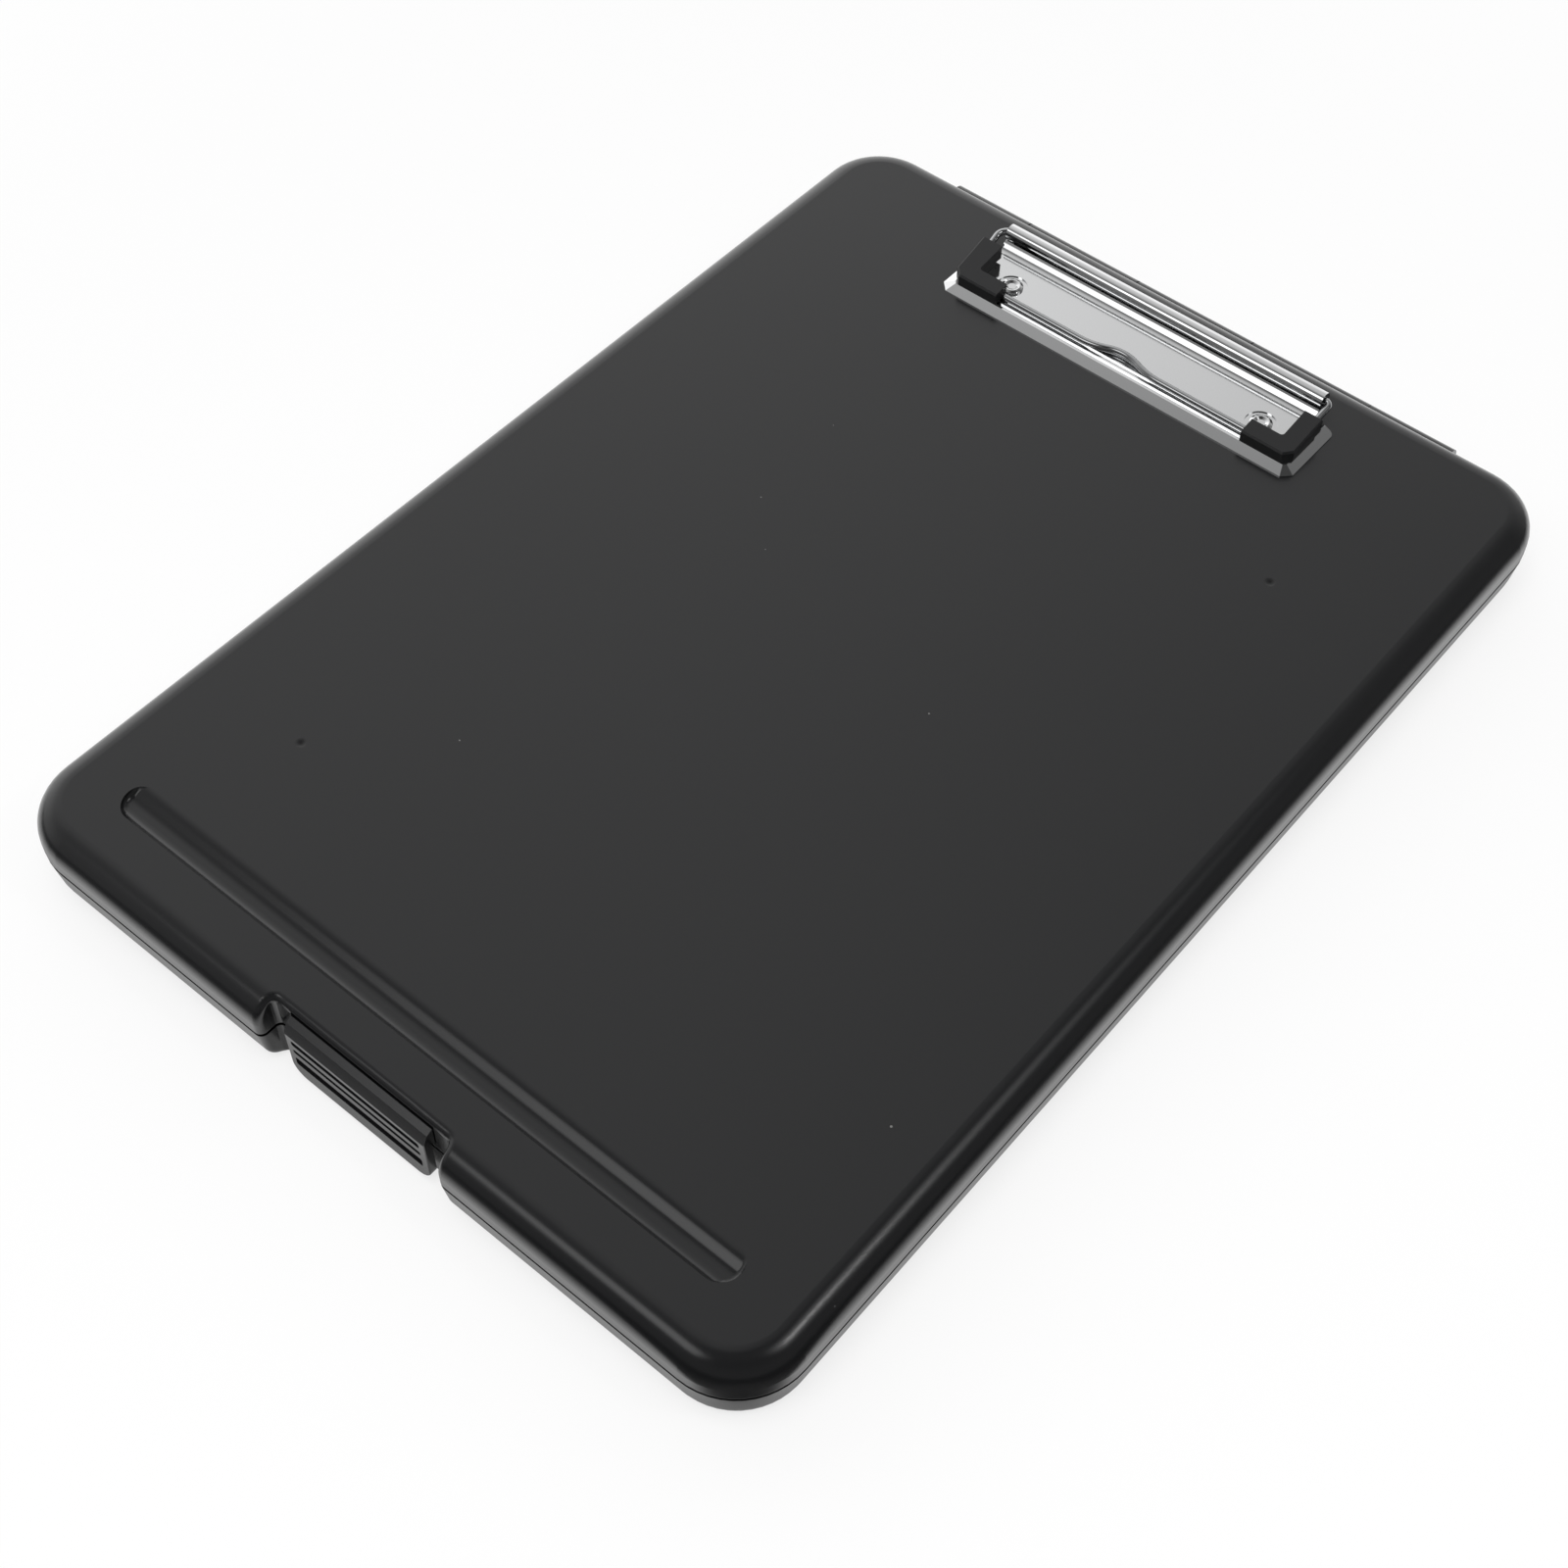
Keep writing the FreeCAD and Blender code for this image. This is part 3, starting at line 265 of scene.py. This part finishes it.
def addGateMark(tree, shader, place, bump, look, centre):
    # A pit where the moulding was fed: a real dent in the bump, darkened inside with painted shade
    away = vectorMath(tree, "DISTANCE", place, centre).outputs["Value"]
    fade = smoothRange(tree, away, (0.0, look["gateMarkRadius"]), (look["gateMarkCore"], 1.0))
    addPaintedShade(tree, shader, look, fade)
    pit = addNode(tree, "ShaderNodeBump")
    pit.inputs["Distance"].default_value = look["gateMarkDepth"]
    link(tree, fade, pit.inputs["Height"])
    link(tree, bump.outputs["Normal"], pit.inputs["Normal"])
    return pit


# Chrome plating of the clip and the plain steel behind it

clipChrome = {
    "colour": (0.78, 0.785, 0.79),
    "roughness": 0.09,
    "roughnessChange": 0.03,
    "grainPerMetre": 2600.0,
    "wavesPerMetre": 90.0,
    "grainHeight": 0.0000003,
}
# Painted shade: a copy of the plate's chrome, darker to stand in for the wire's darker reflections
shadedWireChrome = {
    "colour": (0.42, 0.425, 0.43),
    "roughness": 0.05,
    "roughnessChange": 0.02,
    "grainPerMetre": 2600.0,
    "wavesPerMetre": 90.0,
    "grainHeight": 0.0000003,
}
rodSteel = {
    "colour": (0.56, 0.56, 0.57),
    "roughness": 0.28,
    "roughnessChange": 0.12,
    "grainPerMetre": 2600.0,
    "wavesPerMetre": 90.0,
    "grainHeight": 0.000004,
}


def metal(name, look):
    material, tree, shader, place = startMaterial(name)
    shader.inputs["Metallic"].default_value = 1.0
    shader.inputs["Base Color"].default_value = (*look["colour"], 1)
    grain = useGroup(tree, grainGroup, place)
    grain.inputs["Grain per metre"].default_value = look["grainPerMetre"]
    grain.inputs["Waves per metre"].default_value = look["wavesPerMetre"]
    bump = addFinish(tree, shader, grain, look)
    link(tree, bump.outputs["Normal"], shader.inputs["Normal"])
    return material


nodeMaterials = {
    "lid_shell": blackPlastic("lidPlastic", casePlastic, casePlastic["gateMarks"], seamShade=True),
    "base_tray": blackPlastic("trayPlastic", casePlastic, seamShade=True),
    "latch_tab": blackPlastic("latchPlastic", casePlastic),
    "grip_left": blackPlastic("gripPlastic", gripPlastic),
    "clip_plate": metal("clipChrome", clipChrome),
    "clip_wire": metal("shadedWireChrome", shadedWireChrome),
    "hinge_rod": metal("rodSteel", rodSteel),
}
nodeMaterials["grip_right"] = nodeMaterials["grip_left"]
nodeMaterials["clip_rivets"] = nodeMaterials["clip_plate"]
nodeMaterials["rivet_washers"] = nodeMaterials["hinge_rod"]
nodeMaterials["latch_pin"] = nodeMaterials["hinge_rod"]
for name, material in nodeMaterials.items():
    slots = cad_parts[name].data.materials
    slots.clear()
    slots.append(material)
print("materials on", len(nodeMaterials), "nodes")


# Table: white to the eye; in reflections it glows with painted light near the case on its front and
# right, with painted shadow at the case's foot and painted shade past the front-right corner

table = {
    "size": 6.0,
    "drop": 0.0002,
    "colour": (0.93, 0.93, 0.93),
    "roughness": 0.9,
    "whiteShares": (0.75, 1.0),
    "whiteFade": (0.08, 0.45),
    "reflectedGlowNear": 1.2,
    "reflectedGlowFar": 0.1,
    "reflectedGlowFade": (0.012, 0.06),
    "cornerShadeLevel": 0.1,
    "cornerShadeFade": (-0.014, -0.004),
    "contactShadowLevel": 0.45,
    "contactShadowFade": (-0.002, 0.01),
}


def tableMaterial():
    material, tree, shader, place = startMaterial("palePaper")
    shader.inputs["Base Color"].default_value = (*table["colour"], 1)
    shader.inputs["Roughness"].default_value = table["roughness"]
    parts = splitVector(tree, place)
    low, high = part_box("lid_shell")
    right = mathNode(tree, "SUBTRACT", parts["X"], high.x)
    left = mathNode(tree, "SUBTRACT", low.x, parts["X"])
    ahead = mathNode(tree, "SUBTRACT", low.y, parts["Y"])
    behind = mathNode(tree, "SUBTRACT", parts["Y"], high.y)
    frontRight = mathNode(tree, "MAXIMUM", right, ahead)
    outside = mathNode(tree, "MAXIMUM", frontRight, mathNode(tree, "MAXIMUM", left, behind))
    # painted light: in reflections the table glows brighter near the case's front and right
    level = smoothRange(tree, frontRight, table["reflectedGlowFade"], (table["reflectedGlowNear"], table["reflectedGlowFar"]))
    # painted shadow at the case's foot, seen in reflections
    contactShadow = smoothRange(tree, outside, table["contactShadowFade"], (table["contactShadowLevel"], 1.0))
    level = mathNode(tree, "MULTIPLY", level, contactShadow)
    # painted shade past the front-right corner, seen in reflections
    pastCorner = mathNode(tree, "ADD", right, ahead)
    cornerShade = smoothRange(tree, pastCorner, table["cornerShadeFade"], (1.0, table["cornerShadeLevel"]))
    level = mathNode(tree, "MULTIPLY", level, cornerShade)
    rays = addNode(tree, "ShaderNodeLightPath")
    inGloss = rays.outputs["Is Glossy Ray"]
    extra = mathNode(tree, "MULTIPLY", inGloss, mathNode(tree, "SUBTRACT", level, 1.0))
    glow = addNode(tree, "ShaderNodeEmission")
    link(tree, mathNode(tree, "ADD", extra, 1.0), glow.inputs["Strength"])
    white = smoothRange(tree, outside, table["whiteFade"], table["whiteShares"])
    toEye = mathNode(tree, "MULTIPLY", rays.outputs["Is Camera Ray"], white)
    blend = addNode(tree, "ShaderNodeMixShader")
    link(tree, mathNode(tree, "MAXIMUM", toEye, inGloss), blend.inputs["Fac"])
    link(tree, shader.outputs["BSDF"], blend.inputs[1])
    link(tree, glow.outputs["Emission"], blend.inputs[2])
    link(tree, blend.outputs["Shader"], tree.nodes["Material Output"].inputs["Surface"])
    return material


bpy.ops.object.select_all(action="DESELECT")
bpy.ops.mesh.primitive_plane_add(size=table["size"], location=(0, 0, -table["drop"]))
floor = bpy.context.object
floor.name = "tableTop"
floor.data.materials.append(tableMaterial())
print("table set")


# Lamps: a broad fill that leaves no mirror image, and a small one for the spark on the right edge

lamps = {
    "fill": {"place": (0.3, -0.6, 2.2), "size": 1.4, "power": 35.0, "mirrored": False},
    "spark": {"place": (0.91, 0.25, 1.19), "size": 0.12, "power": 1.0, "mirrored": True},
}
for name, lamp in lamps.items():
    light = bpy.data.lights.new(name, "AREA")
    light.size = lamp["size"]
    light.energy = lamp["power"]
    holder = bpy.data.objects.new(name, light)
    holder.location = lamp["place"]
    holder.rotation_euler = (-Vector(lamp["place"])).to_track_quat("-Z", "Y").to_euler()
    holder.visible_glossy = lamp["mirrored"]
    bpy.context.scene.collection.objects.link(holder)
print("lamps set")


# Surroundings: a pale wall to the left and behind, greyer overhead, dark to the front and right,
# with a soft glow high on either side where the studio's diffusers hang

studio = {
    "wallHeading": (-0.866, 0.5, 0.0),
    "gain": 1.5,
    "heights": (
        (0.0, 1.0), (0.4, 1.0), (0.52, 0.8), (0.62, 0.63),
        (0.76, 0.52), (0.83, 0.46), (0.9, 0.39), (1.0, 0.3),
    ),
    "sides": ((0.0, 0.1), (0.425, 0.1), (0.62, 0.26), (0.83, 0.55), (0.935, 0.85), (0.975, 1.0)),
    "glows": (
        {"heading": (-0.26, -0.63, 0.73), "core": 3.0, "edge": 16.0, "level": 2.0},
        {"heading": (0.53, 0.26, 0.8), "core": 2.0, "edge": 18.0, "level": 1.4},
    ),
}


def rampBetween(tree, value, stops):
    ramp = addNode(tree, "ShaderNodeValToRGB")
    elements = ramp.color_ramp.elements
    ready = len(elements)
    for index, (place, level) in enumerate(stops):
        stop = elements[index] if index < ready else elements.new(place)
        stop.position = place
        stop.color = (level, level, level, 1)
    link(tree, value, ramp.inputs["Fac"])
    return ramp.outputs["Color"]


world = bpy.data.worlds.new("studio")
world.use_nodes = True
bpy.context.scene.world = world
tree = world.node_tree
heading = addNode(tree, "ShaderNodeTexCoord").outputs["Generated"]
# How far a heading turns to the wall: 0 away from it, 1 straight at it
levelled = vectorMath(tree, "MULTIPLY", heading, (1, 1, 0))
compass = addNode(tree, "ShaderNodeVectorMath", operation="NORMALIZE")
link(tree, levelled.outputs["Vector"], compass.inputs[0])
toWall = vectorMath(tree, "DOT_PRODUCT", compass.outputs["Vector"], studio["wallHeading"])
facing = mathNode(tree, "MULTIPLY_ADD", toWall.outputs["Value"], 0.5, 0.5)
bySide = rampBetween(tree, facing, studio["sides"])
byHeight = rampBetween(tree, splitVector(tree, heading)["Z"], studio["heights"])
strength = mathNode(tree, "MULTIPLY", mathNode(tree, "MULTIPLY", byHeight, bySide), studio["gain"])
for glow in studio["glows"]:
    toGlow = vectorMath(tree, "DOT_PRODUCT", heading, Vector(glow["heading"]).normalized())
    reach = [math.cos(math.radians(glow[name])) for name in ("edge", "core")]
    added = smoothRange(tree, toGlow.outputs["Value"], reach, (0.0, glow["level"]))
    strength = mathNode(tree, "ADD", strength, added)
cameraRay = addNode(tree, "ShaderNodeLightPath").outputs["Is Camera Ray"]
strength = mathNode(tree, "MAXIMUM", strength, cameraRay)
background = tree.nodes["Background"]
background.inputs["Color"].default_value = (1, 1, 1, 1)
link(tree, strength, background.inputs["Strength"])
print("surroundings set")


# Camera at the photograph's viewpoint

viewpoint = {
    "azimuth": 39.618,
    "elevation": 53.246,
    "roll": 0.587,
    "distance": 0.61049,
    "target": (0.014748, -0.0344, 0.01),
    "focalPixels": 2450.42,
    "framePixels": 1600,
    "sensorWidth": 36,
}
turn = math.radians(viewpoint["azimuth"])
rise = math.radians(viewpoint["elevation"])
roll = math.radians(viewpoint["roll"])
back = Vector((math.sin(turn) * math.cos(rise), -math.cos(turn) * math.cos(rise), math.sin(rise)))
right = Vector((math.cos(turn), math.sin(turn), 0))
up = back.cross(right)
tiltedRight = right * math.cos(roll) + up * math.sin(roll)
tiltedUp = up * math.cos(roll) - right * math.sin(roll)
stand = Vector(viewpoint["target"]) + back * viewpoint["distance"]
lens = bpy.data.cameras.new("photoLens")
lens.sensor_width = viewpoint["sensorWidth"]
lens.lens = viewpoint["focalPixels"] / viewpoint["framePixels"] * lens.sensor_width
camera = bpy.data.objects.new("photoCamera", lens)
axes = Matrix((tiltedRight, tiltedUp, back)).transposed().to_4x4()
camera.matrix_world = Matrix.Translation(stand) @ axes
bpy.context.scene.collection.objects.link(camera)
bpy.context.scene.camera = camera
bpy.context.scene.view_settings.view_transform = "Standard"
print("camera set")
